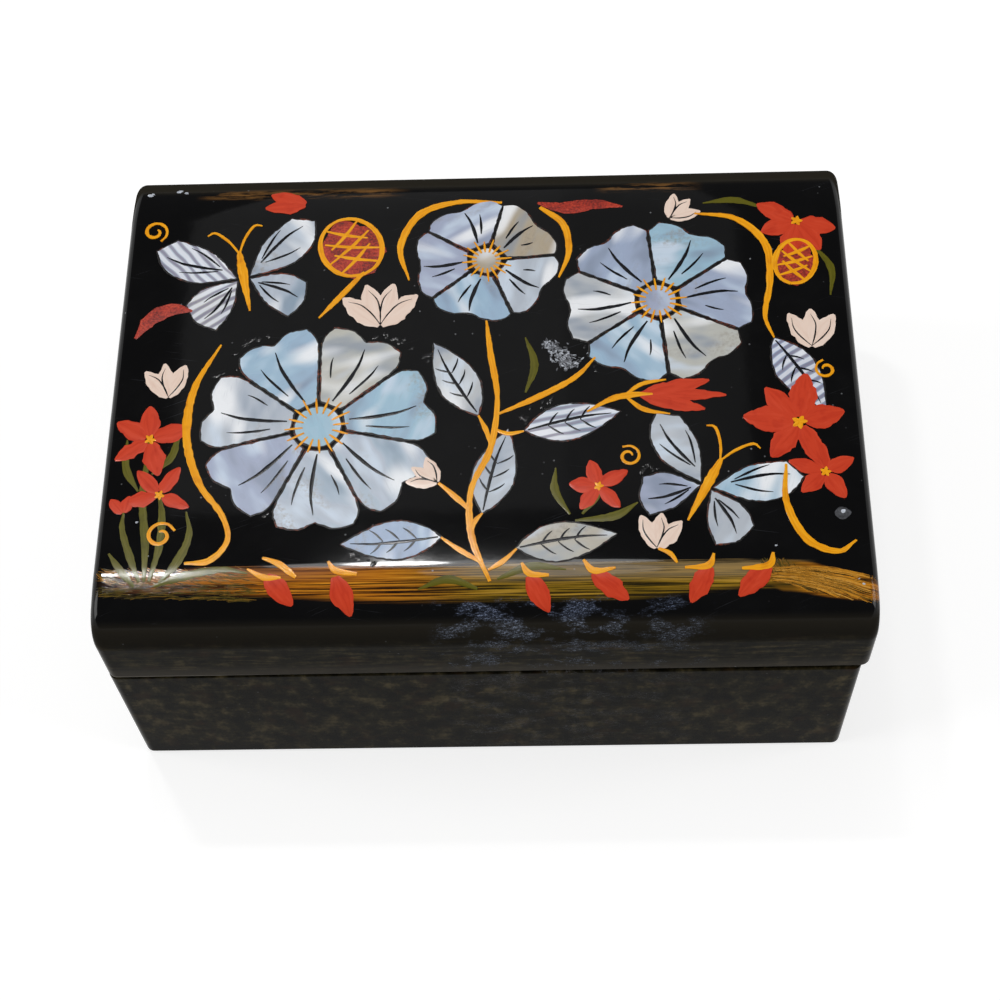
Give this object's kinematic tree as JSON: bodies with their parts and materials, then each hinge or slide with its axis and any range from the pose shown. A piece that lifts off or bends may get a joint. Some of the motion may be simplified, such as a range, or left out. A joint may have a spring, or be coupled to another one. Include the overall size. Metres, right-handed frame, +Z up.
{
  "type": "hinged lacquered box",
  "caption": "Black lacquered wooden box with a hinged lid, rounded long edges and a flush mother-of-pearl and painted flower design on the lid.",
  "frame": {"origin": "centre of the bounding box's foot: the middle of the underside", "axes": "+X to the right along the length, +Y to the hinged back, +Z up; the front faces -Y"},
  "size_m": [0.16, 0.117, 0.0652],
  "materials": {
    "lacquered_wood": "black gloss lacquer, polished; deep red lacquer inside",
    "mother_of_pearl": "polished mother-of-pearl shell, pale with blue, green and pink bands",
    "hinge_brass": "satin, slightly tarnished",
    "hinge_pin_steel": "plain wire"
  },
  "bodies": {
    "base": {"base_bottom": "lacquered_wood", "base_front_wall": "lacquered_wood", "base_back_wall": "lacquered_wood", "base_left_wall": "lacquered_wood", "base_right_wall": "lacquered_wood", "left_hinge_base_leaf": "hinge_brass", "left_hinge_base_screw_1": "hinge_brass", "left_hinge_base_screw_2": "hinge_brass", "right_hinge_base_leaf": "hinge_brass", "right_hinge_base_screw_1": "hinge_brass", "right_hinge_base_screw_2": "hinge_brass", "left_hinge_pin": "hinge_pin_steel", "right_hinge_pin": "hinge_pin_steel"},
    "lid": {"lid_panel": "lacquered_wood", "lid_front_rail": "lacquered_wood", "lid_back_rail": "lacquered_wood", "lid_left_rail": "lacquered_wood", "lid_right_rail": "lacquered_wood", "left_hinge_lid_leaf": "hinge_brass", "left_hinge_lid_screw_1": "hinge_brass", "left_hinge_lid_screw_2": "hinge_brass", "right_hinge_lid_leaf": "hinge_brass", "right_hinge_lid_screw_1": "hinge_brass", "right_hinge_lid_screw_2": "hinge_brass", "large_blossom_eye": "mother_of_pearl", "large_blossom_petal_1": "mother_of_pearl", "large_blossom_petal_2": "mother_of_pearl", "large_blossom_petal_3": "mother_of_pearl", "large_blossom_petal_4": "mother_of_pearl", "large_blossom_petal_5": "mother_of_pearl", "large_blossom_petal_6": "mother_of_pearl", "large_blossom_petal_7": "mother_of_pearl", "medium_blossom_eye": "mother_of_pearl", "medium_blossom_petal_1": "mother_of_pearl", "medium_blossom_petal_2": "mother_of_pearl", "medium_blossom_petal_3": "mother_of_pearl", "medium_blossom_petal_4": "mother_of_pearl", "medium_blossom_petal_5": "mother_of_pearl", "medium_blossom_petal_6": "mother_of_pearl", "small_blossom_eye": "mother_of_pearl", "small_blossom_petal_1": "mother_of_pearl", "small_blossom_petal_2": "mother_of_pearl", "small_blossom_petal_3": "mother_of_pearl", "small_blossom_petal_4": "mother_of_pearl", "small_blossom_petal_5": "mother_of_pearl", "upper_butterfly_right_fore_wing": "mother_of_pearl", "upper_butterfly_left_fore_wing": "mother_of_pearl", "upper_butterfly_right_hind_wing": "mother_of_pearl", "upper_butterfly_left_hind_wing": "mother_of_pearl", "lower_butterfly_right_fore_wing": "mother_of_pearl", "lower_butterfly_left_fore_wing": "mother_of_pearl", "lower_butterfly_right_hind_wing": "mother_of_pearl", "lower_butterfly_left_hind_wing": "mother_of_pearl", "leaf_1": "mother_of_pearl", "leaf_2": "mother_of_pearl", "leaf_3": "mother_of_pearl", "leaf_4": "mother_of_pearl", "leaf_5": "mother_of_pearl", "leaf_6": "mother_of_pearl"}
  },
  "joints": [
    {"name": "lid_hinge", "type": "hinge", "parent": "base", "child": "lid", "pos_m": [0, 0.057, 0.04255], "axis": [-1, 0, 0], "range_deg": [0, 105]}
  ]
}
